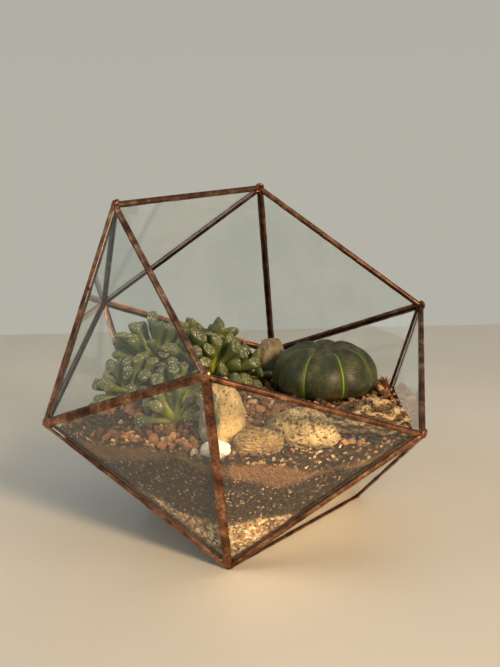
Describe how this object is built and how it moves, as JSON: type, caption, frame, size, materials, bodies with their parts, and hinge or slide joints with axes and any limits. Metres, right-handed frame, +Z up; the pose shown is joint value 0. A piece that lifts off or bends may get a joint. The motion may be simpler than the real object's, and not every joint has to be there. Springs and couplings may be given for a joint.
{
  "type": "planted glass terrarium",
  "caption": "Faceted glass terrarium with copper-patinated solder seams and an open side, planted with club-leaved succulents, a round ribbed plant and stones on layered soil.",
  "frame": {"origin": "on the table under the middle of the glass body's box", "axes": "+Z up; -Y towards the open side; +X to the right seen from the open side"},
  "size_m": [0.204, 0.2353, 0.1902],
  "materials": {
    "clear_glass": "clear float glass, polished",
    "copper_solder": "solder beads on copper foil, copper patina, satin with darker and brighter patches",
    "grit": "pale tan drainage grit of mixed grains",
    "dark_soil": "dark crumbly planting mix with pale specks",
    "brown_sand": "fine brown sand",
    "top_soil": "dark planting mix with gravel",
    "gravel": "red-brown gravel with tan and white bits",
    "round_plant": "waxy grey-green skin with fine cross stripes",
    "club_leaf": "smooth succulent skin, yellow-green at the foot and blue-green at the head",
    "tall_stone": "pitted tan stone",
    "white_pebble": "smooth worn white pebble",
    "small_pitted_stone": "tan stone with fine lines and pits",
    "large_pitted_stone": "pale tan stone with deep pits",
    "banded_stone": "wavy brown and cream bands",
    "back_pale_stone": "pale worn stone",
    "left_grey_pebble": "grey worn pebble"
  },
  "bodies": {
    "root": {"back_pale_stone": "back_pale_stone", "banded_stone": "banded_stone", "drainage_grit": "grit", "gravel_top": "gravel", "large_pitted_stone": "large_pitted_stone", "left_grey_pebble": "left_grey_pebble", "lower_soil": "dark_soil", "pane_back_top": "clear_glass", "pane_base": "clear_glass", "pane_bowl_back_left": "clear_glass", "pane_bowl_back_right": "clear_glass", "pane_bowl_front": "clear_glass", "pane_bowl_front_left": "clear_glass", "pane_bowl_front_right": "clear_glass", "pane_bowl_left_back": "clear_glass", "pane_bowl_left_front": "clear_glass", "pane_bowl_right_back": "clear_glass", "pane_bowl_right_front": "clear_glass", "pane_left_back": "clear_glass", "pane_left_front": "clear_glass", "pane_right_back": "clear_glass", "pane_right_front": "clear_glass", "rim_browleft_topleft": "copper_solder", "rim_browright_topright": "copper_solder", "rim_lip_browleft": "copper_solder", "rim_lip_browright": "copper_solder", "rim_topleft_topright": "copper_solder", "rosette_back_left": "club_leaf", "rosette_back_right": "club_leaf", "rosette_by_glass": "club_leaf", "rosette_front": "club_leaf", "rosette_left": "club_leaf", "rosette_middle": "club_leaf", "rosette_right": "club_leaf", "round_ribbed_plant": "round_plant", "sand_band": "brown_sand", "seam_back_topleft": "copper_solder", "seam_back_topright": "copper_solder", "seam_footback_back": "copper_solder", "seam_footback_left": "copper_solder", "seam_footback_right": "copper_solder", "seam_footleft_browleft": "copper_solder", "seam_footleft_footback": "copper_solder", "seam_footleft_footright": "copper_solder", "seam_footleft_left": "copper_solder", "seam_footleft_lip": "copper_solder", "seam_footright_browright": "copper_solder", "seam_footright_footback": "copper_solder", "seam_footright_lip": "copper_solder", "seam_footright_right": "copper_solder", "seam_left_back": "copper_solder", "seam_left_browleft": "copper_solder", "seam_left_topleft": "copper_solder", "seam_right_back": "copper_solder", "seam_right_browright": "copper_solder", "seam_right_topright": "copper_solder", "small_pitted_stone": "small_pitted_stone", "tall_stone": "tall_stone", "upper_soil": "top_soil", "white_pebble": "white_pebble"}
  },
  "joints": []
}
